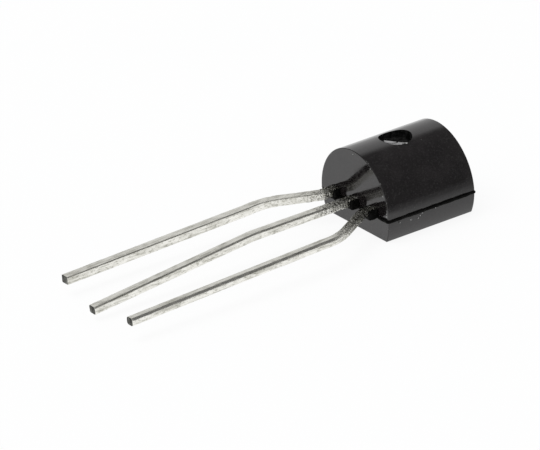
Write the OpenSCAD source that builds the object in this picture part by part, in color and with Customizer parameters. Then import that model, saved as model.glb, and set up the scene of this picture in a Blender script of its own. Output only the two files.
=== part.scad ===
// TO-92 transistor lying on the flat of its case.
// Millimetres. Origin at the centre of the flat, +Z up towards the round back,
// the leads run along -Y, +X across the lead row.

/* [Case] */
// Diameter of the round back, which is also the width of the case
case_width = 4.58; // [4.3:0.01:5.5]
// Length of the case from the lead end to the closed end
case_length = 4.3; // [4.0:0.05:5.4]
// Distance from the flat to the top of the round back
case_depth = 3.33; // [3.2:0.01:4.1]
// Height of the mould parting plane above the flat
parting_height = 1.02; // [0.85:0.01:1.2]
// Slope of the end faces towards the top and the flat, in degrees
draft_angle = 1; // [0.5:0.5:4]
// How far the flash stands out along the parting plane
flash_reach = 0.11; // [0.05:0.01:0.2]
// Thickness of the flash
flash_thickness = 0.08; // [0.05:0.01:0.12]
// Length of the moulded collar round the root of each lead
collar_length = 0.34; // [0.2:0.01:0.36]
// Wall of the collar beside and below the lead
collar_wall = 0.12; // [0.05:0.01:0.14]
// Diameter of the round ejector mark on the back
mark_diameter = 1.38; // [0.8:0.02:1.8]
// Depth of the ejector mark at its centre, below its rim
mark_depth = 0.26; // [0.15:0.01:0.4]

/* [Leads] */
// Width of each lead across the row
lead_width = 0.42; // [0.36:0.01:0.56]
// Thickness of each lead
lead_thickness = 0.35; // [0.3:0.01:0.46]
// Chamfer along the four edges of each lead
lead_edge = 0.05; // [0.02:0.01:0.1]
// Spacing of the leads where they leave the case
root_pitch = 1.27; // [1.15:0.01:1.5]
// Spacing of the leads after forming
formed_pitch = 2.54; // [2.4:0.01:2.66]
// Reach of the longest lead beyond the case
lead_reach = 12.85; // [10:0.05:15]
// How much shorter the left lead ends
left_trim = 0.45; // [0:0.05:1.5]
// How much shorter the right lead ends
right_trim = 0.1; // [0:0.05:1.5]
// Distance from the case to the point where the middle lead starts to dip
middle_bend_at = 5; // [3:0.1:7]
// Straight length of each outer lead before it splays
stub_length = 0.38; // [0.38:0.01:0.9]
// Angle at which the outer leads splay, in degrees
splay_angle = 32; // [25:1:45]
// Bend radius on the centre line
bend_radius = 0.6; // [0.4:0.05:1]
// Dip of the left lead near its root, in degrees
left_root_dip = 4.4; // [3:0.2:6]
// Dip left in the left lead after its second bend, in degrees
left_tip_dip = 1.5; // [0.2:0.1:3]
// Dip of the middle lead beyond its bend, in degrees
middle_dip = 5.4; // [1:0.2:6]
// Dip of the right lead after its second bend, in degrees
right_dip = 2; // [0.5:0.1:3]

/* [Inside] */
// Side of the square silicon die
die_size = 0.5; // [0.36:0.02:0.7]
// Thickness of the die
die_thickness = 0.2; // [0.12:0.01:0.3]
// Thickness of the layer that fixes the die to its pad
attach_thickness = 0.03; // [0.02:0.005:0.05]
// Width of the die pad on the middle lead
pad_width = 1.5; // [1.2:0.05:1.7]
// Length of the die pad
pad_length = 2.2; // [1.8:0.05:2.2]
// Distance from the near edge of the pad to the middle of the die
die_setback = 0.75; // [0.6:0.05:0.9]
// Diameter of the locking hole in the pad
lock_hole = 0.4; // [0.2:0.05:0.5]
// Distance from the lead end of the case to the die pad
pad_setback = 1.65; // [1.3:0.05:1.7]
// Gap between the die pad and the bonding posts
post_gap = 0.22; // [0.15:0.01:0.3]
// Distance from the lead end of the case to the bonding posts
post_setback = 1.5; // [1.2:0.05:1.6]
// Length of the bonding posts
post_length = 1.15; // [0.9:0.05:1.3]
// How far a post stands out beyond its shank on the outer side
post_lip = 0.12; // [0.05:0.01:0.2]
// Height above the die at which a bond wire starts to arch
wire_rise = 0.12; // [0.06:0.01:0.2]
// Diameter of the bond wires
wire_diameter = 0.05; // [0.04:0.005:0.07]

/* [Hidden] */
$fn = 96;
back_radius = case_width / 2;
centre_height = case_depth - back_radius;
half_length = case_length / 2;
shank_top = parting_height + lead_thickness;
lead_axis = parting_height + lead_thickness / 2;
pad_near = -half_length + pad_setback;
pad_far = pad_near + pad_length;
die_y = pad_near + die_setback;
die_base = shank_top + attach_thickness;
die_top = die_base + die_thickness;
post_near = -half_length + post_setback;
post_far = post_near + post_length;
post_in = pad_width / 2 + post_gap;
post_out = root_pitch + lead_width / 2 + post_lip;
bond_x = die_size / 4;
foot_x = (post_in + post_out) / 2;
pad_height = 0.03;
diagonal = ((formed_pitch - root_pitch) - 2 * bend_radius * (1 - cos(splay_angle))) / sin(splay_angle);
splay_run = stub_length + diagonal * cos(splay_angle) + 2 * bend_radius * sin(splay_angle);
dip_radius = 2;
root_join = 0.3;
splay_settle = 0.15;
notch_setback = 0.95;
notch_radius = 0.1;

// Section of a lead, centred on its axis.
module bar_section(w, t) {
  e = lead_edge;
  polygon([
    [-w / 2 + e, -t / 2], [w / 2 - e, -t / 2], [w / 2, -t / 2 + e], [w / 2, t / 2 - e],
    [w / 2 - e, t / 2], [-w / 2 + e, t / 2], [-w / 2, t / 2 - e], [-w / 2, -t / 2 + e]
  ]);
}

// Straight length of lead along -Y, with what follows placed at its end.
module run(len) {
  rotate([90, 0, 0]) linear_extrude(height = len) bar_section(lead_width, lead_thickness);
  translate([0, -len, 0]) children();
}

// Bend in the plane of the row: a positive angle turns towards +X.
module turn(a) {
  s = a < 0 ? -1 : 1;
  r = bend_radius;
  scale([s, 1, 1]) translate([r, 0, 0]) rotate([0, 0, 180])
    rotate_extrude(angle = abs(a)) translate([r, 0]) bar_section(lead_width, lead_thickness);
  translate([s * r, 0, 0]) rotate([0, 0, a]) translate([-s * r, 0, 0]) children();
}

// Bend out of the plane of the row: a positive angle turns towards the flat.
module dip(a) {
  s = a < 0 ? -1 : 1;
  r = dip_radius;
  scale([1, 1, s]) translate([0, 0, -r]) mirror([0, 1, 0]) rotate([0, -90, 0])
    rotate_extrude(angle = abs(a)) translate([r, 0]) bar_section(lead_thickness, lead_width);
  translate([0, 0, -s * r]) rotate([a, 0, 0]) translate([0, 0, s * r]) children();
}

// Half-round locking notches in both sides of a shank.
module shank_notches(x, y) {
  for (s = [-1, 1])
    translate([x + s * (lead_width / 2 + 0.02), y, parting_height - 0.1])
      cylinder(r = notch_radius, h = lead_thickness + 0.2);
}

module collector_lead() {
  color([0.78, 0.78, 0.74]) union() {
    difference() {
      union() {
        translate([-lead_width / 2, -half_length + root_join, parting_height])
          cube([lead_width, pad_setback, lead_thickness]);
        translate([-pad_width / 2, pad_near, parting_height])
          cube([pad_width, pad_far - pad_near, lead_thickness]);
      }
      shank_notches(0, -half_length + notch_setback);
      translate([0, pad_far - lock_hole - 0.02, parting_height - 0.1]) cylinder(r = lock_hole / 2, h = lead_thickness + 0.2);
      for (s = [-1, 1])
        translate([s * (pad_width / 2 + 0.04), pad_far - 0.75, parting_height - 0.1])
          cylinder(r = 0.12, h = lead_thickness + 0.2);
    }
    translate([0, -half_length + root_join, lead_axis])
      run(root_join + middle_bend_at) dip(middle_dip)
        run(lead_reach - middle_bend_at - dip_radius * sin(middle_dip));
  }
}

// Shank and bonding post of an outer lead, on the +X side.
module outer_post() {
  difference() {
    union() {
      translate([root_pitch - lead_width / 2, -half_length + root_join, parting_height])
        cube([lead_width, post_setback, lead_thickness]);
      translate([post_in, post_near, parting_height])
        cube([post_out - post_in, post_far - post_near, lead_thickness]);
    }
    shank_notches(root_pitch, -half_length + notch_setback);
  }
}

module base_lead() {
  color([0.78, 0.78, 0.74]) union() {
    outer_post();
    translate([root_pitch, -half_length + root_join, lead_axis])
      run(root_join + stub_length) turn(splay_angle) run(diagonal) turn(-splay_angle)
        run(splay_settle) dip(right_dip)
          run(lead_reach - right_trim - splay_run - splay_settle - dip_radius * sin(right_dip));
  }
}

module emitter_lead() {
  color([0.78, 0.78, 0.74]) union() {
    mirror([1, 0, 0]) outer_post();
    translate([-root_pitch, -half_length + root_join, lead_axis])
      run(root_join + stub_length) dip(left_root_dip) turn(-splay_angle) run(diagonal) turn(splay_angle)
        run(splay_settle) dip(left_tip_dip - left_root_dip)
          run(lead_reach - left_trim - splay_run - splay_settle
            - dip_radius * (sin(left_root_dip) + sin(left_root_dip - left_tip_dip)));
  }
}

module die_attach() {
  color([0.62, 0.64, 0.66])
    translate([-die_size / 2 - 0.03, die_y - die_size / 2 - 0.03, shank_top])
      cube([die_size + 0.06, die_size + 0.06, attach_thickness]);
}

module silicon_die() {
  color([0.32, 0.34, 0.4])
    translate([-die_size / 2, die_y - die_size / 2, die_base])
      cube([die_size, die_size, die_thickness]);
}

// Ball on the die, arched wire and foot on the post, on the +X side.
module bond_wire(dy) {
  r = (foot_x - bond_x) / 2;
  spring = die_top + wire_rise;
  translate([0, die_y + dy, 0]) union() {
    translate([bond_x, 0, die_top]) cylinder(r = wire_diameter * 1.1, h = pad_height);
    translate([bond_x, 0, die_top]) cylinder(r = wire_diameter / 2, h = spring - die_top);
    translate([bond_x + r, 0, spring]) rotate([90, 0, 0])
      rotate_extrude(angle = 180) translate([r, 0]) circle(r = wire_diameter / 2);
    translate([foot_x, 0, shank_top]) cylinder(r = wire_diameter / 2, h = spring - shank_top);
    translate([foot_x - wire_diameter, -wire_diameter, shank_top])
      cube([wire_diameter * 2.4, wire_diameter * 2, pad_height]);
  }
}

module base_wire() {
  color([0.86, 0.7, 0.36]) bond_wire(die_size / 5);
}

module emitter_wire() {
  color([0.86, 0.7, 0.36]) mirror([1, 0, 0]) bond_wire(-die_size / 5);
}

// Round back and flat, with drafted end faces.
module case_block() {
  t = tan(draft_angle);
  up = (case_depth + 0.5 - parting_height) * t;
  down = parting_height * t;
  intersection() {
    translate([0, half_length + 1, centre_height]) rotate([90, 0, 0])
      cylinder(r = back_radius, h = case_length + 2);
    translate([-back_radius - 1, 0, 0]) rotate([90, 0, 90])
      linear_extrude(height = case_width + 2)
        polygon([
          [-half_length + down, 0], [half_length - down, 0], [half_length, parting_height],
          [half_length - up, case_depth + 0.5], [-half_length + up, case_depth + 0.5], [-half_length, parting_height]
        ]);
  }
}

// Thin flash that stands out along the parting plane.
module flash_plate() {
  translate([-back_radius - flash_reach, -half_length - flash_reach, parting_height - flash_thickness])
    cube([case_width + 2 * flash_reach, case_length + 1.5 * flash_reach, flash_thickness]);
}

// Moulded collar round the root of one lead.
module root_collar(x) {
  translate([x - lead_width / 2 - collar_wall, -half_length - collar_length, parting_height - collar_wall])
    cube([lead_width + 2 * collar_wall, collar_length + 0.2, lead_thickness + collar_wall]);
}

// Shallow dished ejector mark with a step half-way down.
module ejector_mark() {
  r = mark_diameter / 2;
  rim = centre_height + sqrt(back_radius * back_radius - r * r) - 0.02;
  inner = r * 0.67;
  ledge = rim - mark_depth * 0.42;
  step = rim - mark_depth * 0.27;
  union() {
    translate([0, 0, rim - mark_depth]) cylinder(r1 = inner * 0.12, r2 = inner, h = ledge - rim + mark_depth);
    translate([0, 0, ledge]) cylinder(r = inner, h = step - ledge);
    translate([0, 0, step]) cylinder(r1 = inner, r2 = r, h = rim - step);
    translate([0, 0, rim]) cylinder(r = r, h = case_depth + 0.2 - rim);
  }
}

// Everything that is moulded, before the room for the inserts is taken out.
module moulding() {
  difference() {
    case_block();
    ejector_mark();
  }
  flash_plate();
  for (x = [-root_pitch, 0, root_pitch]) root_collar(x);
}

// The leads and the parts they carry, as one block for cutting their room.
module inserts() {
  collector_lead();
  base_lead();
  emitter_lead();
  die_attach();
  silicon_die();
  base_wire();
  emitter_wire();
}

module case() {
  color([0.09, 0.09, 0.1]) difference() {
    moulding();
    inserts();
  }
}

case();
collector_lead();
base_lead();
emitter_lead();
die_attach();
silicon_die();
base_wire();
emitter_wire();
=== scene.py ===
"""A small transistor in a black moulded case, on three formed and tinned leads, laid on a pale studio floor.

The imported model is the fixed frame. The case, its flash and its leads are built again here in finer
detail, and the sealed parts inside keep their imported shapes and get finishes. Everything is in metres.
"""

import logging
import math
from dataclasses import dataclass, field, fields
from enum import Enum
from typing import Callable, Dict, List, Optional, Sequence, Tuple, Union

import bmesh
import bpy
import numpy as np
from bpy.types import Material, Mesh, Node, NodeSocket, NodeTree, Object
from mathutils import Matrix, Vector, noise


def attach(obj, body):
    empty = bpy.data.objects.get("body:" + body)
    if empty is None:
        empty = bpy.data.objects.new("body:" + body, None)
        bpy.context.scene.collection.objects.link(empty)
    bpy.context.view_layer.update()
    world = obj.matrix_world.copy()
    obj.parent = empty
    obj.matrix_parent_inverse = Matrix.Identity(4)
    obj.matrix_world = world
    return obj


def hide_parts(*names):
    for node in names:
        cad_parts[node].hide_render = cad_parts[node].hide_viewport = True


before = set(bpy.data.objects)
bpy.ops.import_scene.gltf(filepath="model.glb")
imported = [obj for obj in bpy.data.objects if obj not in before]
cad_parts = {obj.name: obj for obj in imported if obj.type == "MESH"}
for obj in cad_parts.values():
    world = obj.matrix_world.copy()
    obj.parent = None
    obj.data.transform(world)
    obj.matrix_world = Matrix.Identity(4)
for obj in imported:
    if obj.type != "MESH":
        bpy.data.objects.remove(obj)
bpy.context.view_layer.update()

MM = 0.001
WELD = 1e-9
CUTOFF = 1e-6
LOG = logging.getLogger("transistor")
NODES_IN_ROW = 8
NODE_STEP = (180.0, 220.0)

Span = Tuple[float, float]
Point = Tuple[float, float, float]
Colour = Tuple[float, float, float]
Faces = List[List[int]]
Feeds = Dict[Union[str, int], object]


def held(value: float) -> float:
    """A value held between 0 and 1."""
    return max(0.0, min(1.0, value))


def direction(azimuth: float, elevation: float) -> Vector:
    """The unit vector towards an azimuth, from -Y towards +X, and an elevation, both in degrees."""
    a, e = math.radians(azimuth), math.radians(elevation)
    return Vector((math.sin(a) * math.cos(e), -math.cos(a) * math.cos(e), math.sin(e)))


def band(lower: int, upper: int, count: int, closed: bool = True) -> Faces:
    """Faces between two rows of points.

    Args:
        lower: Number of the first row's first point.
        upper: Number of the second row's first point.
        count: Points in each row.
        closed: Whether the rows close on themselves.

    Returns:
        The faces.
    """
    steps = count if closed else count - 1
    return [[lower + k, lower + (k + 1) % count, upper + (k + 1) % count, upper + k] for k in range(steps)]


# ----------------------------------------------------------------------------
# Node sheets: one small writer for shader and geometry trees
# ----------------------------------------------------------------------------


class Sheet:
    """Writes nodes and links into one node tree."""

    def __init__(self, tree: NodeTree) -> None:
        """Starts on an empty tree.

        Args:
            tree: The tree that the nodes go into.
        """
        self.tree = tree

    def put(self, kind: str, feeds: Optional[Feeds] = None, **settings: object) -> Node:
        """Adds one node.

        Args:
            kind: The node's type name.
            feeds: What goes into its inputs, by their names or numbers.
            settings: Properties to set on the node.

        Returns:
            The new node.
        """
        row, place = divmod(len(self.tree.nodes), NODES_IN_ROW)
        node = self.tree.nodes.new(kind)
        node.location = (NODE_STEP[0] * place, -NODE_STEP[1] * row)
        for name, value in settings.items():
            setattr(node, name, value)
        for key, value in (feeds or {}).items():
            self.feed(node.inputs[key], value)
        return node

    def out(self, kind: str, feeds: Optional[Feeds] = None, **settings: object) -> NodeSocket:
        """Adds one node and gives its first output."""
        return self.put(kind, feeds, **settings).outputs[0]

    def feed(self, socket: NodeSocket, value: object) -> None:
        """Links another socket to this one, or sets its own value.

        Args:
            socket: The input to feed.
            value: An output socket, a number, a colour or a vector.
        """
        if isinstance(value, NodeSocket):
            self.tree.links.new(value, socket)
        elif isinstance(value, (tuple, list)) and len(value) == 3 and socket.type == "RGBA":
            socket.default_value = (*value, 1.0)
        else:
            socket.default_value = value

    def maths(self, operation: str, a: object, b: object = 0.0, clamp: bool = False) -> NodeSocket:
        """Adds a Math node.

        Args:
            operation: The operation's name.
            a: First operand.
            b: Second operand, where the operation takes one.
            clamp: Whether the result is held between 0 and 1.

        Returns:
            The node's output.
        """
        return self.out("ShaderNodeMath", {0: a, 1: b}, operation=operation, use_clamp=clamp)

    def times(self, a: object, b: object) -> NodeSocket:
        """The product of two values."""
        return self.maths("MULTIPLY", a, b)

    def plus(self, a: object, b: object, clamp: bool = False) -> NodeSocket:
        """The sum of two values."""
        return self.maths("ADD", a, b, clamp)

    def most(self, a: object, b: object) -> NodeSocket:
        """The larger of two values."""
        return self.maths("MAXIMUM", a, b)

    def spread(self, value: object, low: object = 0.0, high: object = 1.0,
               out_low: object = 0.0, out_high: object = 1.0) -> NodeSocket:
        """Maps a value from one range to another, held inside it.

        Args:
            value: What to map.
            low: Where the source range starts.
            high: Where the source range ends.
            out_low: Result at the start.
            out_high: Result at the end.

        Returns:
            The mapped value's output.
        """
        feeds = dict(enumerate((value, low, high, out_low, out_high)))
        return self.out("ShaderNodeMapRange", feeds, clamp=True, interpolation_type="SMOOTHSTEP")

    def blend(self, factor: object, a: object, b: object) -> NodeSocket:
        """Mixes two colours.

        Args:
            factor: Share of the second colour.
            a: First colour.
            b: Second colour.

        Returns:
            The mixed colour's output.
        """
        feeds = {"Factor": factor, 6: a, 7: b}
        return self.put("ShaderNodeMix", feeds, data_type="RGBA", blend_type="MIX").outputs[2]

    def split(self, vector: object) -> Sequence[NodeSocket]:
        """The X, Y and Z of a vector."""
        return tuple(self.put("ShaderNodeSeparateXYZ", {0: vector}).outputs)

    def noise(self, vector: object, scale: object, detail: object, **more: object) -> NodeSocket:
        """Noise from 0 to 1 at a place in space.

        Args:
            vector: The place.
            scale: Noise scale per metre.
            detail: Octaves.
            more: The noise's other inputs. With W among them, the noise has four dimensions.

        Returns:
            The noise output.
        """
        feeds = {"Vector": vector, "Scale": scale, "Detail": detail, **more}
        return self.out("ShaderNodeTexNoise", feeds, noise_dimensions="4D" if "W" in more else "3D")

    def bump(self, height: object, depth: float) -> NodeSocket:
        """A bump whose height of 1 stands for a depth in metres, as a normal."""
        return self.out("ShaderNodeBump", {"Strength": 1.0, "Distance": depth, "Height": height})

    def seen(self) -> NodeSocket:
        """Is 1 for what the camera sees straight on, in gloss or through glass.

        Returns:
            The share, 0 or 1.
        """
        rays = self.put("ShaderNodeLightPath").outputs
        seen = self.plus(rays["Is Camera Ray"], rays["Is Glossy Ray"])
        return self.plus(seen, rays["Is Transmission Ray"], clamp=True)

    def mixed(self, factor: object, first: NodeSocket, second: NodeSocket) -> NodeSocket:
        """A mix of two shaders, with a share of the second."""
        return self.out("ShaderNodeMixShader", {0: factor, 1: first, 2: second})


# ----------------------------------------------------------------------------
# Shader groups that several finishes share
# ----------------------------------------------------------------------------


@dataclass(frozen=True)
class Effect:
    """A shader group with an input for each field, built once and placed in materials with its values."""

    scale: float

    def fill(self, sheet: Sheet, given: Dict[str, NodeSocket]) -> NodeSocket:
        """Writes the group's nodes.

        Args:
            sheet: The group's sheet.
            given: The group's inputs, by name.

        Returns:
            What the group puts out.
        """
        raise NotImplementedError

    def built(self) -> NodeTree:
        """The group's tree, which is built at the first call.

        Returns:
            The tree.
        """
        title = type(self).__name__.lower()
        tree = bpy.data.node_groups.get(title)
        if tree is None:
            tree = bpy.data.node_groups.new(title, "ShaderNodeTree")
            tree.interface.new_socket("place", in_out="INPUT", socket_type="NodeSocketVector")
            for part in fields(self):
                tree.interface.new_socket(part.name, in_out="INPUT", socket_type="NodeSocketFloat")
            tree.interface.new_socket("result", in_out="OUTPUT", socket_type="NodeSocketFloat")
            sheet = Sheet(tree)
            given = {socket.name: socket for socket in sheet.put("NodeGroupInput").outputs}
            sheet.put("NodeGroupOutput", {"result": self.fill(sheet, given)})
        return tree

    def on(self, sheet: Sheet, place: NodeSocket) -> NodeSocket:
        """Places the group in a material.

        Args:
            sheet: The material's sheet.
            place: The coordinates that it reads.

        Returns:
            Its output.
        """
        feeds = {"place": place, **{part.name: getattr(self, part.name) for part in fields(self)}}
        return sheet.out("ShaderNodeGroup", feeds, node_tree=self.built())


@dataclass(frozen=True)
class Clouding(Effect):
    """Soft uneven patches."""

    detail: float
    low: float
    high: float

    def fill(self, sheet: Sheet, given: Dict[str, NodeSocket]) -> NodeSocket:
        """Noise with its middle spread to a mask."""
        cloud = sheet.noise(given["place"], given["scale"], given["detail"], Roughness=0.6)
        return sheet.spread(cloud, given["low"], given["high"])


@dataclass(frozen=True)
class Specks(Effect):
    """Scattered small spots, each in its own cell."""

    share: float
    size: float

    def fill(self, sheet: Sheet, given: Dict[str, NodeSocket]) -> NodeSocket:
        """A soft-edged spot in the share of the cells that a random number picks.

        Args:
            sheet: The group's sheet.
            given: The group's inputs, by name.

        Returns:
            The spots.
        """
        feeds = {"Vector": given["place"], "Scale": given["scale"]}
        cells = sheet.put(
            "ShaderNodeTexVoronoi", feeds, voronoi_dimensions="3D", feature="F1", distance="EUCLIDEAN")
        pick = sheet.out("ShaderNodeSeparateColor", {0: cells.outputs["Color"]})
        chosen = sheet.maths("LESS_THAN", pick, given["share"])
        inner = sheet.times(given["size"], 0.6)
        return sheet.times(chosen, sheet.spread(cells.outputs["Distance"], inner, given["size"], 1.0, 0.0))


@dataclass(frozen=True)
class Hairlines(Effect):
    """Thin broken lines along the first axis of the given place."""

    stretch: float
    share: float

    def fill(self, sheet: Sheet, given: Dict[str, NodeSocket]) -> NodeSocket:
        """The peaks of a noise that is drawn out along one axis.

        Args:
            sheet: The group's sheet.
            given: The group's inputs, by name.

        Returns:
            The lines.
        """
        x, y, z = sheet.split(given["place"])
        drawn = sheet.out("ShaderNodeCombineXYZ", {0: sheet.times(x, given["stretch"]), 1: y, 2: z})
        level = sheet.maths("SUBTRACT", 0.72, sheet.times(given["share"], 0.3))
        return sheet.spread(sheet.noise(drawn, given["scale"], 2.0), level, sheet.plus(level, 0.06))


@dataclass(frozen=True)
class Grain(Effect):
    """Fine height for a bump, of two sizes of grain."""

    fine_share: float

    def fill(self, sheet: Sheet, given: Dict[str, NodeSocket]) -> NodeSocket:
        """A coarse noise and one 3.1 times finer.

        Args:
            sheet: The group's sheet.
            given: The group's inputs, by name.

        Returns:
            The height.
        """
        coarse = sheet.noise(given["place"], given["scale"], 1.0)
        fine = sheet.noise(given["place"], sheet.times(given["scale"], 3.1), 1.0)
        rest = sheet.maths("SUBTRACT", 1.0, given["fine_share"])
        return sheet.plus(sheet.times(coarse, rest), sheet.times(fine, given["fine_share"]))


# ----------------------------------------------------------------------------
# Finishes
# ----------------------------------------------------------------------------


def blank_material(name: str) -> Tuple[Material, Sheet]:
    """Starts a material with no nodes.

    Args:
        name: Name of the material.

    Returns:
        The material and its sheet.
    """
    material = bpy.data.materials.new(name)
    material.use_nodes = True
    material.node_tree.nodes.clear()
    return material, Sheet(material.node_tree)


@dataclass(frozen=True)
class Finish:
    """A Principled material whose patterns read object coordinates."""

    name: str

    def inputs(self, sheet: Sheet, place: NodeSocket) -> Feeds:
        """Writes the patterns.

        Args:
            sheet: The material's sheet.
            place: Object coordinates.

        Returns:
            What goes into the shader.
        """
        raise NotImplementedError

    def material(self) -> Material:
        """Builds the material.

        Returns:
            The material.
        """
        material, sheet = blank_material(self.name)
        place = sheet.put("ShaderNodeTexCoord").outputs["Object"]
        shader = sheet.out("ShaderNodeBsdfPrincipled", self.inputs(sheet, place))
        sheet.put("ShaderNodeOutputMaterial", {"Surface": shader})
        return material


@dataclass(frozen=True)
class MouldingFinish(Finish):
    """Black moulding compound with a polished mould skin, chipped along the round edge of its back."""

    name: str = "moulding_skin"
    dark: Colour = (0.0072, 0.0060, 0.0063)
    pale: Colour = (0.0125, 0.0106, 0.0109)
    haze: Colour = (0.022, 0.0205, 0.0205)
    speck: Colour = (0.22, 0.22, 0.21)
    scuff: Colour = (0.11, 0.11, 0.105)
    smooth: float = 0.07
    rough: float = 0.15
    ior: float = 1.55
    grain_depth: float = 0.3e-6
    axis_height: float = 1.04 * MM
    back_radius: float = 2.29 * MM
    half_length: float = 2.15 * MM
    back_wear: Span = (0.075 * MM, 0.02 * MM)
    end_wear: Span = (0.11 * MM, 0.04 * MM)
    wear_rough: float = 0.35
    line_rough: float = 0.08
    line_depth: float = 0.25
    broad: Clouding = Clouding(1100.0, 4.0, 0.36, 0.64)
    small: Clouding = Clouding(6500.0, 3.0, 0.4, 0.7)
    flakes: Clouding = Clouding(7000.0, 4.0, 0.6, 0.66)
    mist: Clouding = Clouding(11000.0, 4.0, 0.48, 0.75)
    dust: Specks = Specks(2600.0, 0.035, 0.085)
    lines: Hairlines = Hairlines(9000.0, 0.05, 0.25)
    grain: Grain = Grain(5200.0, 0.35)

    def edge_mask(self, sheet: Sheet, place: NodeSocket) -> NodeSocket:
        """Marks the round edge between the back and the two end faces.

        Args:
            sheet: The material's sheet.
            place: Object coordinates.

        Returns:
            The mask's output.
        """
        x, y, z = sheet.split(place)
        rise = sheet.maths("SUBTRACT", z, self.axis_height)
        out = sheet.maths("SQRT", sheet.plus(sheet.times(x, x), sheet.times(rise, rise)))
        near_back = sheet.spread(out, *(self.back_radius - wear for wear in self.back_wear))
        ends = (self.half_length - wear for wear in self.end_wear)
        return sheet.times(near_back, sheet.spread(sheet.maths("ABSOLUTE", y), *ends))

    def inputs(self, sheet: Sheet, place: NodeSocket) -> Feeds:
        """Clouded compound with dust, hairlines and chipped edges.

        Args:
            sheet: The material's sheet.
            place: Object coordinates.

        Returns:
            What goes into the shader.
        """
        cloud, dust, lines = (part.on(sheet, place) for part in (self.broad, self.dust, self.lines))
        worn = sheet.times(self.edge_mask(sheet, place), self.flakes.on(sheet, place))
        colour = sheet.blend(self.mist.on(sheet, place), sheet.blend(cloud, self.dark, self.pale), self.haze)
        colour = sheet.blend(worn, colour, self.scuff)
        level = sheet.plus(sheet.times(cloud, 0.6), sheet.times(self.small.on(sheet, place), 0.4))
        skin = sheet.spread(level, 0.0, 1.0, self.smooth, self.rough)
        skin = sheet.plus(skin, sheet.times(sheet.most(dust, worn), self.wear_rough))
        grain = self.grain.on(sheet, place)
        return {
            "Base Color": sheet.blend(dust, colour, self.speck),
            "Roughness": sheet.plus(skin, sheet.times(lines, self.line_rough), clamp=True),
            "IOR": self.ior,
            "Normal": sheet.bump(
                sheet.maths("SUBTRACT", grain, sheet.times(lines, self.line_depth)), self.grain_depth),
        }


@dataclass(frozen=True)
class TornResinFinish(Finish):
    """Dull, torn edge of the same compound, on the flash and round the lead roots. Its default colours are
    darker than the compound's, which paints the shade and dark reflection along the parting line and at the
    lead roots.
    """

    name: str = "torn_resin"
    # Painted shade: darker than the compound's own colour, for the shade along the parting line and round the
    # lead roots.
    dark: Colour = (0.0012, 0.0012, 0.0011)
    pale: Colour = (0.004, 0.004, 0.0036)
    chip: Colour = (0.12, 0.12, 0.11)
    chip_share: float = 0.02
    rough: float = 0.85
    rough_fall: float = 0.2
    shine: float = 0.1
    depth: float = 6.0e-6

    def inputs(self, sheet: Sheet, place: NodeSocket) -> Feeds:
        """Clouded dull resin with pale chips.

        Args:
            sheet: The material's sheet.
            place: Object coordinates.

        Returns:
            What goes into the shader.
        """
        cloud = Clouding(5200.0, 4.0, 0.35, 0.7).on(sheet, place)
        chips = Specks(5600.0, self.chip_share, 0.28).on(sheet, place)
        return {
            "Base Color": sheet.blend(chips, sheet.blend(cloud, self.dark, self.pale), self.chip),
            "Roughness": sheet.spread(cloud, 0.0, 1.0, self.rough, self.rough - self.rough_fall),
            "Specular IOR Level": self.shine,
            "Normal": sheet.bump(Grain(11000.0, 0.5).on(sheet, place), self.depth),
        }


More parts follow.
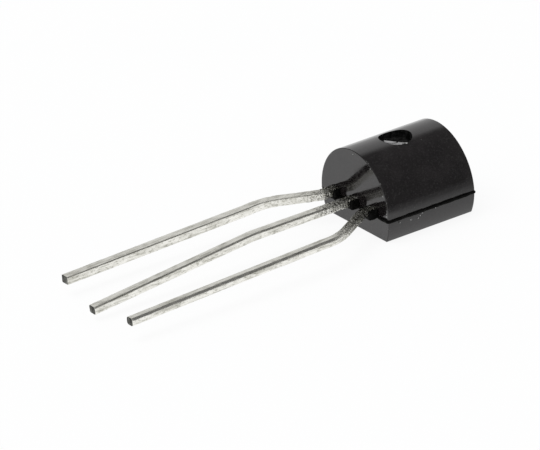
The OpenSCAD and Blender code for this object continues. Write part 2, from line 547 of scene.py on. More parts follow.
@dataclass(frozen=True)
class TinFinish(Finish):
    """Bright tin plating, mottled and crinkled, with a faint warm cast.

    It is worn on the tops, flecked on the flanks, crushed at the bends, and darkened next to the case, partly
    by dirt and partly by painted shade and a painted reflection of the black case.
    """

    name: str = "tin_plate"
    bright: Colour = (0.93, 0.92, 0.87)
    dull: Colour = (0.74, 0.73, 0.67)
    worn: Colour = (0.5, 0.49, 0.43)
    fleck: Colour = (0.28, 0.28, 0.225)
    pit: Colour = (0.09, 0.09, 0.075)
    smooth: float = 0.24
    rough: float = 0.46
    crushed_rough: float = 0.3
    fleck_rough: float = 0.2
    depth: float = 7.0e-6
    dent_height: float = 3.1
    pit_height: float = 0.3
    grain_length: float = 0.45
    worn_share: float = 0.35
    drawn_share: float = 0.4
    flank_share: float = 0.48
    crushed_share: float = 0.88
    smear_share: float = 0.45
    crushed_span: Span = (-4.7 * MM, -3.2 * MM)
    crushed_lean: float = 0.3
    # The stretch next to the case is darkened partly as dirt and partly as painted shade and painted
    # reflection of the black case.
    soiled_span: Span = (-3.7 * MM, -2.6 * MM)
    soiled_lean: float = 0.35
    soiled_share: float = 0.6
    caked_span: Span = (-2.95 * MM, -2.65 * MM)
    caked_share: float = 0.88
    mottle: Clouding = Clouding(4200.0, 4.0, 0.38, 0.66)
    broad: Clouding = Clouding(900.0, 2.0, 0.35, 0.7)
    flecks: Clouding = Clouding(13000.0, 5.0, 0.54, 0.62)
    smears: Clouding = Clouding(6500.0, 4.0, 0.5, 0.58)
    blots: Clouding = Clouding(8000.0, 4.0, 0.36, 0.52)
    dents: Clouding = Clouding(9000.0, 3.0, 0.36, 0.64)
    drawn: Hairlines = Hairlines(13000.0, 0.05, 0.55)
    grain: Grain = Grain(9000.0, 0.4)

    def soil(self, sheet: Sheet, place: NodeSocket, crushed: NodeSocket) -> NodeSocket:
        """Marks the dark smears at the bends, and the darkened stretch next to the case, which is partly dirt
        and partly painted shade and painted reflection of the case.

        Args:
            sheet: The material's sheet.
            place: Object coordinates.
            crushed: How crushed the plating is.

        Returns:
            The mask's output.
        """
        x, y, _ = sheet.split(place)
        smear = sheet.times(sheet.times(self.smears.on(sheet, place), crushed), self.smear_share)
        # Painted shade: darker towards the case, where the lead lies in shade and reflects the black case,
        # over real dirt.
        near = sheet.plus(y, sheet.times(x, self.soiled_lean))
        soiled_and_shaded = sheet.spread(near, *self.soiled_span, 0.0, self.soiled_share)
        soiled_and_shaded = sheet.most(soiled_and_shaded, sheet.spread(y, *self.caked_span, 0.0, self.caked_share))
        return sheet.most(smear, sheet.times(self.blots.on(sheet, place), soiled_and_shaded))

    def inputs(self, sheet: Sheet, place: NodeSocket) -> Feeds:
        """Mottled plating with all its wear.

        Args:
            sheet: The material's sheet.
            place: Object coordinates.

        Returns:
            What goes into the shader.
        """
        along = sheet.out("ShaderNodeMapping", {"Vector": place, "Scale": (1.0, self.grain_length, 1.0)})
        turned = sheet.out("ShaderNodeMapping", {"Vector": place, "Rotation": (0.0, 0.0, math.pi / 2)})
        x, y, _ = sheet.split(place)
        crushed = sheet.spread(sheet.plus(y, sheet.times(x, self.crushed_lean)), *self.crushed_span)
        mottle = sheet.times(self.mottle.on(sheet, along), 0.65)
        mix = sheet.plus(mottle, sheet.times(self.broad.on(sheet, along), 0.35))
        flank = sheet.put("ShaderNodeAttribute", attribute_name="flank").outputs["Fac"]
        share = sheet.most(sheet.times(flank, self.flank_share), sheet.times(crushed, self.crushed_share))
        flecks = sheet.times(self.flecks.on(sheet, along), share)
        colour = sheet.blend(mix, self.bright, self.dull)
        colour = sheet.blend(sheet.spread(flank, 0.0, 1.0, self.worn_share, 0.0), colour, self.worn)
        drawn = sheet.times(self.drawn.on(sheet, turned), self.drawn_share)
        colour = sheet.blend(drawn, colour, self.fleck)
        # The pit colour is real dirt in the smears and painted shade next to the case.
        colour = sheet.blend(self.soil(sheet, place, crushed), colour, self.pit)
        rough = sheet.spread(crushed, 0.0, 1.0, self.rough, self.crushed_rough)
        skin = sheet.spread(mix, 0.0, 1.0, self.smooth, rough)
        pitted = sheet.maths("SUBTRACT", self.grain.on(sheet, along), sheet.times(flecks, self.pit_height))
        dents = sheet.times(sheet.times(self.dents.on(sheet, place), crushed), self.dent_height)
        return {
            "Base Color": sheet.blend(flecks, colour, self.fleck),
            "Roughness": sheet.plus(skin, sheet.times(flecks, self.fleck_rough), clamp=True),
            "Metallic": 1.0,
            "Normal": sheet.bump(sheet.plus(dents, pitted), self.depth),
        }


@dataclass(frozen=True)
class MetalFinish(Finish):
    """A metal or metal-filled surface of two tones, with a fine grain."""

    dark: Colour
    pale: Colour
    clouds: Clouding
    rough: Span
    metallic: float
    grain: Grain
    depth: float
    sheen: Optional[Hairlines] = None
    stretch: Optional[Point] = None

    def inputs(self, sheet: Sheet, place: NodeSocket) -> Feeds:
        """Two tones, with a roughness that follows them or the drawn lines.

        Args:
            sheet: The material's sheet.
            place: Object coordinates.

        Returns:
            What goes into the shader.
        """
        if self.stretch:
            place = sheet.out("ShaderNodeMapping", {"Vector": place, "Scale": self.stretch})
        cloud = self.clouds.on(sheet, place)
        worked = self.sheen.on(sheet, place) if self.sheen else cloud
        return {
            "Base Color": sheet.blend(cloud, self.dark, self.pale),
            "Roughness": sheet.spread(worked, 0.0, 1.0, *self.rough),
            "Metallic": self.metallic,
            "Normal": sheet.bump(self.grain.on(sheet, place), self.depth),
        }


SHEARED_METAL = MetalFinish(
    "sheared_metal", dark=(0.06, 0.06, 0.055), pale=(0.2, 0.2, 0.18),
    clouds=Clouding(9000.0, 3.0, 0.38, 0.68), rough=(0.6, 0.45), metallic=1.0,
    grain=Grain(12000.0, 0.3), depth=9.0e-6, stretch=(1.0, 1.0, 0.3))
SILICON = MetalFinish(
    "silicon", dark=(0.045, 0.05, 0.075), pale=(0.14, 0.15, 0.2), clouds=Clouding(9000.0, 2.0, 0.45, 0.6),
    rough=(0.12, 0.3), metallic=0.35, grain=Grain(30000.0, 0.3), depth=0.3e-6)
SILVER_ADHESIVE = MetalFinish(
    "die_attach", dark=(0.34, 0.34, 0.33), pale=(0.66, 0.66, 0.63), clouds=Clouding(22000.0, 3.0, 0.35, 0.65),
    rough=(0.65, 0.45), metallic=0.8, grain=Grain(40000.0, 0.5), depth=2.0e-6)
GOLD_WIRE = MetalFinish(
    "gold_wire", dark=(0.78, 0.52, 0.18), pale=(0.93, 0.72, 0.36), clouds=Clouding(12000.0, 2.0, 0.4, 0.6),
    rough=(0.2, 0.36), metallic=1.0, grain=Grain(50000.0, 0.4), depth=0.5e-6,
    sheen=Hairlines(60000.0, 0.1, 0.5))


# ----------------------------------------------------------------------------
# Mesh helpers
# ----------------------------------------------------------------------------


def linked(name: str, data: object) -> Object:
    """A new object in the scene that holds some data.

    Args:
        name: Name of the object.
        data: Its mesh, curve, camera or light.

    Returns:
        The object.
    """
    obj = bpy.data.objects.new(name, data)
    bpy.context.scene.collection.objects.link(obj)
    return obj


def store(mesh: Mesh, label: str, values: Sequence[float]) -> None:
    """Stores a number at each point of a mesh, for a material to read."""
    layer = mesh.attributes.new(label, "FLOAT", "POINT")
    layer.data.foreach_set("value", np.array(values, np.float32))


def mesh_object(name: str, points: Sequence[Sequence[float]], faces: Sequence[Sequence[int]],
                materials: Sequence[Material]) -> Object:
    """Makes a mesh object at the origin.

    Args:
        name: Name of the object.
        points: Vertices in metres.
        faces: Vertex numbers of each face.
        materials: Materials for its slots.

    Returns:
        The object, linked to the scene.
    """
    mesh = bpy.data.meshes.new(name)
    mesh.from_pydata([tuple(map(float, p)) for p in points], [], [tuple(f) for f in faces])
    mesh.validate(clean_customdata=False)
    obj = linked(name, mesh)
    for material in materials:
        mesh.materials.append(material)
    return obj


def face_outwards(mesh: Mesh) -> None:
    """Turns every face of a closed mesh outwards.

    Args:
        mesh: The mesh to turn.
    """
    work = bmesh.new()
    work.from_mesh(mesh)
    bmesh.ops.remove_doubles(work, verts=work.verts, dist=WELD)
    bmesh.ops.recalc_face_normals(work, faces=work.faces)
    work.to_mesh(mesh)
    work.free()
    mesh.update()


def smooth_over(mesh: Mesh, degrees: float) -> None:
    """Shades a mesh smooth, with sharp edges where its faces turn by more than an angle.

    Args:
        mesh: The mesh to shade.
        degrees: The angle.
    """
    mesh.shade_smooth()
    mesh.set_sharp_from_angle(angle=math.radians(degrees))


def frozen(obj: Object, name: str) -> Object:
    """Turns an object and its live modifiers into a plain mesh object, and removes the first one.

    Args:
        obj: The object with its modifiers.
        name: Name of the plain one.

    Returns:
        The plain mesh object.
    """
    bpy.context.view_layer.update()
    graph = bpy.context.evaluated_depsgraph_get()
    live = obj.evaluated_get(graph)
    mesh = bpy.data.meshes.new_from_object(live, preserve_all_data_layers=True, depsgraph=graph)
    mesh.name = name
    plain = linked(name, mesh)
    bpy.data.objects.remove(obj)
    plain.name = name
    return plain


def route_object(name: str, points: np.ndarray, radii: Sequence[float], tilts: Sequence[float],
                 closed: bool) -> Object:
    """Makes a curve object of one open or closed polyline, with level normals.

    Args:
        name: Name of the object.
        points: Points of the line, in metres.
        radii: Size factor of the section at each point.
        tilts: Turn of the section at each point, in radians.
        closed: Whether the line closes on itself.

    Returns:
        The curve object.
    """
    curve = bpy.data.curves.new(name, "CURVE")
    curve.dimensions = "3D"
    curve.twist_mode = "Z_UP"
    spline = curve.splines.new("POLY")
    spline.points.add(len(points) - 1)
    places = np.column_stack([points, np.ones(len(points))])
    spline.points.foreach_set("co", places.astype(np.float32).ravel())
    spline.points.foreach_set("radius", np.array(radii, np.float32))
    spline.points.foreach_set("tilt", np.array(tilts, np.float32))
    spline.use_cyclic_u = closed
    obj = linked(name, curve)
    return obj


# ----------------------------------------------------------------------------
# Geometry trees
# ----------------------------------------------------------------------------


Writer = Callable[[Sheet, Dict[str, NodeSocket]], NodeSocket]
SOCKETS = {float: "NodeSocketFloat", int: "NodeSocketInt", Material: "NodeSocketMaterial"}


def new_tree(name: str, write: Writer, values: Dict[str, object]) -> NodeTree:
    """Builds a geometry tree that ends with Realize Instances and Set Material.

    Args:
        name: Name of the tree.
        write: What writes its nodes.
        values: A value for each input, whose kind the input takes.

    Returns:
        The tree.
    """
    tree = bpy.data.node_groups.new(name, "GeometryNodeTree")
    tree.is_modifier = True
    for side in ("INPUT", "OUTPUT"):
        tree.interface.new_socket("Geometry", in_out=side, socket_type="NodeSocketGeometry")
    for label, value in values.items():
        tree.interface.new_socket(label, in_out="INPUT", socket_type=SOCKETS[type(value)])
    sheet = Sheet(tree)
    given = {socket.name: socket for socket in sheet.put("NodeGroupInput").outputs}
    real = sheet.out("GeometryNodeRealizeInstances", {"Geometry": write(sheet, given)})
    dressed = sheet.out("GeometryNodeSetMaterial", {"Geometry": real, "Material": given["Material"]})
    sheet.put("NodeGroupOutput", {"Geometry": dressed})
    return tree


def grow(obj: Object, name: str, write: Writer, values: Dict[str, object]) -> None:
    """Adds a geometry tree to an object, and builds the tree the first time.

    Args:
        obj: The object.
        name: Name of the tree.
        write: What writes its nodes.
        values: Value of each input, by name.
    """
    modifier = obj.modifiers.new(name, "NODES")
    modifier.node_group = bpy.data.node_groups.get(name) or new_tree(name, write, values)
    for item in modifier.node_group.interface.items_tree:
        if item.in_out == "INPUT" and item.name in values:
            modifier[item.identifier] = values[item.name]


def two_sizes(sheet: Sheet, scale: NodeSocket, seed: NodeSocket, finer: float) -> NodeSocket:
    """A coarse noise with a finer one, at each point's place.

    Args:
        sheet: The tree's sheet.
        scale: Scale of the coarse one, per metre.
        seed: Seed of both.
        finer: How many times finer the other is.

    Returns:
        The sum, from 0 to 1.
    """
    place = sheet.out("GeometryNodeInputPosition")
    coarse = sheet.noise(place, scale, 1.0, W=seed)
    fine = sheet.noise(place, sheet.times(scale, finer), 2.0, W=seed)
    return sheet.plus(sheet.times(coarse, 0.6), sheet.times(fine, 0.4))


def pushed(sheet: Sheet, mesh: NodeSocket, amount: NodeSocket) -> NodeSocket:
    """A mesh with each point moved along its normal.

    Args:
        sheet: The tree's sheet.
        mesh: The mesh.
        amount: How far each point moves, in metres.

    Returns:
        The moved mesh.
    """
    normal = sheet.out("GeometryNodeInputNormal")
    offset = sheet.out("ShaderNodeVectorMath", {0: normal, "Scale": amount}, operation="SCALE")
    return sheet.out("GeometryNodeSetPosition", {"Geometry": mesh, "Offset": offset})


def write_strip(sheet: Sheet, given: Dict[str, NodeSocket]) -> NodeSocket:
    """A rounded strip swept along a route, with a crinkled skin that only goes inwards.

    Args:
        sheet: The tree's sheet.
        given: The tree's inputs, by name.

    Returns:
        The strip.
    """
    box = {"Width": given["Width"], "Height": given["Thickness"]}
    section = sheet.out("GeometryNodeCurvePrimitiveQuadrilateral", box, mode="RECTANGLE")
    fillet = {"Curve": section, "Radius": given["Corner"], "Count": 8}
    rounded = sheet.out("GeometryNodeFilletCurve", fillet, mode="POLY")
    points = {"Curve": rounded, "Count": given["Points Round"]}
    swept = sheet.out("GeometryNodeCurveToMesh", {
        "Curve": given["Geometry"],
        "Profile Curve": sheet.out("GeometryNodeResampleCurve", points, mode="COUNT"),
        "Scale": sheet.out("GeometryNodeInputRadius"),
        "Fill Caps": True,
    })
    rough = two_sizes(sheet, given["Crinkle Scale"], given["Seed"], 3.7)
    along = sheet.split(sheet.out("GeometryNodeInputPosition"))[1]
    crushed = sheet.spread(along, given["Crushed From"], given["Crushed To"], 0.4, 1.0)
    most = sheet.times(sheet.times(given["Crinkle"], crushed), -1.0)
    return pushed(sheet, swept, sheet.times(sheet.spread(rough, 0.3, 0.7), most))


def write_fin(sheet: Sheet, given: Dict[str, NodeSocket]) -> NodeSocket:
    """A thin torn fin that runs along a closed line, of uneven reach.

    Args:
        sheet: The tree's sheet.
        given: The tree's inputs, by name.

    Returns:
        The fin.
    """
    root, under, tip_under = (sheet.times(given[label], -1.0) for label in ("Root", "Root Half", "Tip Half"))
    reach = given["Reach"]
    corners = ((root, under), (reach, tip_under), (reach, given["Tip Half"]), (root, given["Root Half"]))
    points = {f"Point {k}": sheet.out("ShaderNodeCombineXYZ", {0: across, 1: up})
              for k, (across, up) in enumerate(corners, 1)}
    section = sheet.out("GeometryNodeCurvePrimitiveQuadrilateral", points, mode="POINTS")
    torn = two_sizes(sheet, given["Tear Scale"], given["Seed"], 5.0)
    share = sheet.spread(torn, 0.32, 0.62, given["Least"], 1.0)
    radius = sheet.times(sheet.out("GeometryNodeInputRadius"), share)
    even = sheet.out("GeometryNodeResampleCurve", {"Curve": section, "Count": 18}, mode="COUNT")
    return sheet.out("GeometryNodeCurveToMesh", {
        "Curve": sheet.out("GeometryNodeSetCurveRadius", {"Curve": given["Geometry"], "Radius": radius}),
        "Profile Curve": even,
        "Scale": sheet.out("GeometryNodeInputRadius"),
    })


def write_crumbs(sheet: Sheet, given: Dict[str, NodeSocket]) -> NodeSocket:
    """A chip of resin at each given point, each turned and sized its own way.

    Args:
        sheet: The tree's sheet.
        given: The tree's inputs, by name.

    Returns:
        The chips.
    """
    chip = sheet.out("GeometryNodeMeshIcoSphere", {"Radius": given["Size"], "Subdivisions": 2})
    lumps = sheet.noise(sheet.out("GeometryNodeInputPosition"), 26000.0, 1.0, W=2.0)
    amount = sheet.times(sheet.maths("SUBTRACT", lumps, 0.6), 0.02 * MM)
    turn = {"Max": (6.28, 6.28, 6.28), "Seed": given["Seed"]}
    size = {"Min": (0.4, 0.4, 0.25), "Max": (1.0, 1.0, 0.6), "Seed": given["Seed"]}
    return sheet.out("GeometryNodeInstanceOnPoints", {
        "Points": given["Geometry"],
        "Instance": pushed(sheet, chip, amount),
        "Rotation": sheet.out("FunctionNodeRandomValue", turn, data_type="FLOAT_VECTOR"),
        "Scale": sheet.out("FunctionNodeRandomValue", size, data_type="FLOAT_VECTOR"),
    })


# ----------------------------------------------------------------------------
# The moulded case
# ----------------------------------------------------------------------------


@dataclass
class MouldedCase:
    """Round back, flat front, drafted ends and the dished ejector mark, as one closed shell."""

    back_radius: float = 2.29 * MM
    centre_height: float = 1.04 * MM
    half_length: float = 2.15 * MM
    parting_height: float = 1.02 * MM
    draft: float = math.radians(1.0)
    edge_round: float = 0.028 * MM
    corner_round: float = 0.05 * MM
    arc_step: float = math.radians(2.0)
    divisions: Tuple[int, int, int] = (12, 6, 12)
    mark_grid: Tuple[int, int] = (216, 60)
    cutter_rise: float = 0.4 * MM
    mark_skin: float = 0.012 * MM
    mark_radius: float = 0.69 * MM
    mark_depth: float = 0.26 * MM
    shelf_edge: float = 0.29 * MM
    shelf_span: Span = (-0.4 * MM, 0.36 * MM)
    shelf_tilt: Span = (-0.11, 0.1)
    shelf_depth: float = 0.02 * MM
    pit_wall: Span = (2.0, 0.1 * MM)
    groove_centre: Span = (-0.17 * MM, 0.23 * MM)
    groove_radius: float = 0.31 * MM
    groove_width: float = 0.022 * MM
    groove_depth: float = 0.045 * MM
    finish: MouldingFinish = field(default_factory=MouldingFinish)
    pit_finish: TornResinFinish = field(default_factory=lambda: TornResinFinish(
        name="rough_pit", dark=(0.002, 0.002, 0.002), pale=(0.02, 0.0195, 0.0195),
        chip_share=0.01, depth=3.0e-6))
    # Painted highlight: the mark's shelves take a pale colour that stands in for the bright crescents that
    # light makes on them.
    shelf_finish: MouldingFinish = field(default_factory=lambda: MouldingFinish(
        name="pressed_moulding", dark=(0.13, 0.128, 0.128), pale=(0.26, 0.257, 0.257)))

    def outline(self) -> List[Tuple[Span, Span]]:
        """Section across the case, from the flat up one side, over the back and down again.

        Returns:
            Each point with its outward direction, as (x, z) pairs.
        """
        r, zc, rc = self.back_radius, self.centre_height, self.corner_round
        cx = math.sqrt((r - rc) ** 2 - (zc - rc) ** 2)
        low = math.atan2(rc - zc, cx)
        level = math.asin((self.parting_height - zc) / r)
        flat, corner, side = self.divisions
        back = round((math.pi / 2 - level) / self.arc_step)
        half: List[Tuple[Span, Span]] = [((cx * k / flat, 0.0), (0.0, -1.0)) for k in range(1, flat)]
        for x, z, radius, start, end, steps, picks in (
            (cx, rc, rc, -math.pi / 2, low, corner, range(corner + 1)),
            (0.0, zc, r, low, level, side, range(1, side + 1)),
            (0.0, zc, r, level, math.pi / 2, back, range(1, back)),
        ):
            for a in (start + (end - start) * k / steps for k in picks):
                way = (math.cos(a), math.sin(a))
                half.append(((x + radius * way[0], z + radius * way[1]), way))
        other = [((-x, z), (-nx, nz)) for (x, z), (nx, nz) in reversed(half)]
        return [((0.0, 0.0), (0.0, -1.0)), *half, ((0.0, zc + r), (0.0, 1.0)), *other]

    def end_at(self, z: float) -> float:
        """Half length of the case at a height, which shrinks away from the parting plane."""
        return self.half_length - abs(z - self.parting_height) * math.tan(self.draft)

    def shell(self, material: Material) -> Object:
        """Closed shell of the case before the mark is cut.

        Args:
            material: Its finish.

        Returns:
            The object.
        """
        line = self.outline()
        count = len(line)
        e = self.edge_round
        steps = [(e * (1 - math.cos(p)), e * (1 - math.sin(p))) for p in np.linspace(0.0, math.pi / 2, 8)]
        rings = [(0.0, e * 1.5), *steps, (e * 1.5, 0.0)]
        points: List[Point] = []
        for side, order in ((-1, list(reversed(rings))), (1, rings)):
            for inset, back in order:
                for (x, z), (nx, nz) in line:
                    px, pz = x - nx * inset, z - nz * inset
                    points.append((px, side * (self.end_at(pz) - back), pz))
        loops = 2 * len(rings)
        faces: Faces = []
        for ring in range(loops - 1):
            faces.extend(band(ring * count, (ring + 1) * count, count))
        split = [k for k, ((x, z), _) in enumerate(line) if abs(z - self.parting_height) < WELD]
        right, left = split[0], split[1]
        for base in (0, (loops - 1) * count):
            upper = [base + k for k in range(right, left + 1)]
            lower = [base + k % count for k in range(left, count + right + 1)]
            faces.extend([upper, lower])
        obj = mesh_object("case_shell", points, faces, [material])
        face_outwards(obj.data)
        return obj

    def mark_zones(self, x: float, y: float) -> Span:
        """Where a place lies in the mark.

        Args:
            x: Place across the case.
            y: Place along the case.

        Returns:
            How far it lies inside the pit, and how far from the groove.
        """
        along, aside = (x + y) * math.sqrt(0.5), (x - y) * math.sqrt(0.5)
        pit = max(self.shelf_edge - aside, self.shelf_span[0] - along, along - self.shelf_span[1])
        groove = math.hypot(along - self.groove_centre[0], aside - self.groove_centre[1]) - self.groove_radius
        return pit, groove

    def mark_drop(self, x: float, y: float) -> float:
        """Depth of the mark's floor below its rim: two crescent shelves with a groove between, and a pit.

        Args:
            x: Place across the case.
            y: Place along the case.

        Returns:
            The depth.
        """
        pit, groove = self.mark_zones(x, y)
        along, aside = (x + y) * math.sqrt(0.5), (x - y) * math.sqrt(0.5)
        back, mark = self.back_radius ** 2, self.mark_radius ** 2
        lip = math.sqrt(back - 0.5 * mark) - math.sqrt(back - mark)
        drop = self.shelf_depth - lip - self.shelf_tilt[0] * along
        drop -= self.shelf_tilt[1] * (aside - self.mark_radius)
        drop += self.groove_depth * math.exp(-(groove / self.groove_width) ** 2)
        drop += self.pit_wall[0] * min(max(0.0, pit), self.pit_wall[1])
        return min(drop, self.mark_depth)

    def mark_cutter(self) -> Object:
        """Cutter for the ejector mark.

        Returns:
            The cutter object.
        """
        r, (turns, rings) = self.mark_radius, self.mark_grid
        rim = self.centre_height + math.sqrt(self.back_radius ** 2 - r * r)
        points = [(0.0, 0.0, rim - self.mark_drop(0.0, 0.0))]
        for ring in range(1, rings + 2):
            out = r * min(ring, rings) / rings
            for k in range(turns):
                x, y = out * math.cos(2 * math.pi * k / turns), out * math.sin(2 * math.pi * k / turns)
                points.append((x, y, rim + self.cutter_rise if ring > rings else rim - self.mark_drop(x, y)))
        points.append((0.0, 0.0, rim + self.cutter_rise))
        faces: Faces = [[0, 1 + (k + 1) % turns, 1 + k] for k in range(turns)]
        for ring in range(rings):
            faces.extend(band(1 + ring * turns, 1 + (ring + 1) * turns, turns))
        top = 1 + rings * turns
        faces.extend([top + k, top + (k + 1) % turns, len(points) - 1] for k in range(turns))
        obj = mesh_object("mark_cutter", points, faces, [])
        face_outwards(obj.data)
        return obj

    def dress_pit(self, mesh: Mesh) -> None:
        """Gives the mark's pit and groove their rough finish, and its shelves a pale finish that paints the
        highlight on them.

        Args:
            mesh: The case's mesh.
        """
        mesh.materials.append(self.pit_finish.material())
        mesh.materials.append(self.shelf_finish.material())
        slot = len(mesh.materials) - 2
        for face in mesh.polygons:
            x, y, z = face.center
            pit, groove = self.mark_zones(x, y)
            rough = pit > 0.0 or abs(groove) < self.groove_width
            surface = self.centre_height + math.sqrt(max(0.0, self.back_radius ** 2 - x * x))
            out = math.hypot(x, y) / self.mark_radius
            if out < 1.001 and self.centre_height < z < surface - self.mark_skin:
                # The shelves' pale slot is a painted highlight.
                face.material_index = slot if rough or out > 0.999 else slot + 1

    def build(self) -> Object:
        """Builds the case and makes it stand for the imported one.

        Returns:
            The finished piece.
        """
        shell = self.shell(self.finish.material())
        cutter = self.mark_cutter()
        cut = shell.modifiers.new("ejector_mark", "BOOLEAN")
        cut.operation, cut.solver, cut.object = "DIFFERENCE", "EXACT", cutter
        piece = frozen(shell, "moulded_case")
        bpy.data.objects.remove(cutter)
        self.dress_pit(piece.data)
        smooth_over(piece.data, 20.0)
        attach(piece, "root")
        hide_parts("case")
        return piece


@dataclass
class PartingFlash:
    """Torn fin of resin that runs round the case at the parting plane, drawn thicker than the real fin so
    that it also paints the shade beneath it, and small pale chips that are partly resin crumbs and partly
    painted glints on the case's edges and the mark's rim.
    """

    half_width: float = 2.289 * MM
    half_length: float = 2.15 * MM
    height: float = 0.978 * MM
    corner: float = 0.05 * MM
    reach: float = 0.105 * MM
    far_share: float = 0.5
    aside_share: float = 0.12
    aside_from: float = 0.5 * MM
    aside_fade: float = 0.4 * MM
    end_fade: float = 0.6 * MM
    crumb_size: float = 0.052 * MM
    root: float = 0.06 * MM
    # The fin is drawn about twice as thick as the real flash: the extra dark fin paints the shade along the
    # parting line.
    halves: Span = (0.085 * MM, 0.042 * MM)
    least: float = 0.72
    tear_scale: float = 2600.0
    step: float = 0.025 * MM
    finish: TornResinFinish = field(default_factory=TornResinFinish)
    # Pale, shiny finish of the chips: partly the resin's own chips, partly painted glints.
    crumb_finish: TornResinFinish = field(default_factory=lambda: TornResinFinish(
        name="fresh_resin_chip", dark=(0.2, 0.2, 0.195), pale=(0.6, 0.6, 0.58), chip=(0.7, 0.7, 0.68),
        chip_share=0.2, rough=0.5, shine=0.5))
    # Pale chips, partly resin crumbs and partly painted glints: the two at the end face's right corner and
    # the three on the mark's rim paint glints.
    crumb_places: Tuple[Point, ...] = (
        (2.31, -1.62, 0.81), (2.37, 0.12, 0.94), (2.28, -1.05, 0.75), (-2.31, 0.8, 1.04),
        (-2.31, -1.2, 1.04),
        (2.28, -0.70, 0.71), (2.28, -0.59, 0.785), (2.28, -0.48, 0.86), (2.285, -0.38, 0.925),
        (0.0, -2.11, 3.18), (1.17, -2.11, 2.925), (1.97, -2.12, 2.0), (2.15, -2.14, 1.28),
        (2.18, -2.14, 1.17),
        (0.62, -0.06, 3.24), (0.66, 0.0, 3.236), (0.7, 0.05, 3.23))

    def line(self) -> Tuple[np.ndarray, List[float]]:
        """Closed line that the fin follows, turning left seen from above.

        Returns:
            The points, and the size factor at each.
        """
        w, l, c = self.half_width, self.half_length, self.corner
        corners = [(w - c, -l + c, -90), (w - c, l - c, 0), (-w + c, l - c, 90), (-w + c, -l + c, 180)]
        loose: List[Span] = []
        for cx, cy, start in corners:
            for k in range(7):
                a = math.radians(start + 15 * k)
                loose.append((cx + c * math.cos(a), cy + c * math.sin(a)))
        points: List[Point] = []
        for (ax, ay), (bx, by) in zip(loose, loose[1:] + loose[:1]):
            span = math.hypot(bx - ax, by - ay)
            parts = max(1, round(span / self.step))
            for k in range(parts):
                points.append((ax + (bx - ax) * k / parts, ay + (by - ay) * k / parts, self.height))
        places = np.array(points)
        sizes = []
        for x, y, _ in points:
            beyond = held((y - (l - c)) / c)
            aside = held((self.aside_from - w - x) / self.aside_fade)
            aside *= held((self.end_fade - l - y) / self.end_fade)
            sizes.append(1.0 + (self.far_share - 1.0) * beyond + (self.aside_share - 1.0) * aside)
        return places, sizes

    def build(self) -> List[Object]:
        """Builds the fin, and the chips that are partly crumbs and partly painted glints.

        Returns:
            The finished pieces.
        """
        places, sizes = self.line()
        route = route_object("flash_route", places, sizes, [0.0] * len(sizes), True)
        grow(route, "torn_fin", write_fin, {
            "Root": self.root, "Reach": self.reach,
            "Root Half": self.halves[0], "Tip Half": self.halves[1],
            "Least": self.least, "Tear Scale": self.tear_scale, "Seed": 4.0,
            "Material": self.finish.material(),
        })
        fin = frozen(route, "parting_flash")
        face_outwards(fin.data)
        smooth_over(fin.data, 40.0)
        spots = [tuple(value * MM for value in place) for place in self.crumb_places]
        seeds = mesh_object("crumb_places", spots, [], [])
        chips = {"Size": self.crumb_size, "Seed": 3, "Material": self.crumb_finish.material()}
        grow(seeds, "resin_crumbs", write_crumbs, chips)
        # These chips are partly crumbs and partly painted glints.
        crumbs = frozen(seeds, "flash_crumbs")
        face_outwards(crumbs.data)
        smooth_over(crumbs.data, 25.0)
        for piece in (fin, crumbs):
            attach(piece, "root")
        return [fin, crumbs]


@dataclass
class RootCollars:
    """Short torn collars of resin round the three lead roots, made wider and longer than the real ones so
    that, in their dark resin, they also paint the shade and dark reflection at the roots.
    """

    pitch: float = 1.27 * MM
    # Painted shade: the collars are made wider and reach further from the case than the real ones, to cover
    # the shade at the roots.
    half_width: float = 0.33 * MM
    nears: Point = (-2.47 * MM, -2.54 * MM, -2.58 * MM)
    far: float = -2.08 * MM
    low: float = 0.9 * MM
    high: float = 1.315 * MM
    bite: float = 0.035 * MM
    rounding: float = 0.05 * MM
    bite_scale: float = 9000.0
    finish: TornResinFinish = field(default_factory=TornResinFinish)

    def block(self, x: float, near: float, parts: int = 14) -> Tuple[List[Point], Faces]:
        """One collar as a box with rounded edges and a bitten skin.

        Args:
            x: Where the collar stands across the row.
            near: Where its outer face stands.
            parts: Divisions along each edge.

        Returns:
            Its points and faces.
        """
        work = bmesh.new()
        bmesh.ops.create_cube(work, size=2.0)
        bmesh.ops.subdivide_edges(work, edges=work.edges, cuts=parts, use_grid_fill=True)
        half = Vector((self.half_width, (self.far - near) / 2, (self.high - self.low) / 2))
        centre = Vector((x, (self.far + near) / 2, (self.high + self.low) / 2))
        rounding = self.rounding
        points: List[Point] = []
        work.verts.index_update()
        for vert in work.verts:
            raw = Vector(a * b for a, b in zip(vert.co, half))
            core = Vector(max(-h + rounding, min(h - rounding, a)) for a, h in zip(raw, half))
            away = raw - core
            spot = core + (away.normalized() * rounding if away.length > rounding else away)
            place = centre + spot
            bitten = noise.fractal(place * self.bite_scale, 1.0, 2.0, 3)
            pull = self.bite * held(0.5 + 0.7 * bitten)
            inward = -spot.normalized() if spot.length else Vector()
            place = place + inward * pull
            points.append((place.x, place.y, place.z))
        faces = [[v.index for v in f.verts] for f in work.faces]
        work.free()
        return points, faces

    def build(self) -> Object:
        """Builds the three collars as one piece.

        Returns:
            The finished piece.
        """
        points: List[Point] = []
        faces: Faces = []
        for x, near in zip((-self.pitch, 0.0, self.pitch), self.nears):
            more, rings = self.block(x, near)
            start = len(points)
            points.extend(more)
            faces.extend([[start + k for k in ring] for ring in rings])
        piece = mesh_object("root_collars", points, faces, [self.finish.material()])
        face_outwards(piece.data)
        smooth_over(piece.data, 60.0)
        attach(piece, "root")
        return piece


# ----------------------------------------------------------------------------
# The leads
# ----------------------------------------------------------------------------


class LeadRole(Enum):
    """Which terminal a lead is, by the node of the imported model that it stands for."""

    COLLECTOR = "collector_lead"
    BASE = "base_lead"
    EMITTER = "emitter_lead"


class Move(Enum):
    """A step along a lead's route."""

    RUN = "run"
    TURN = "turn"
    EASE = "ease"
    DIP = "dip"


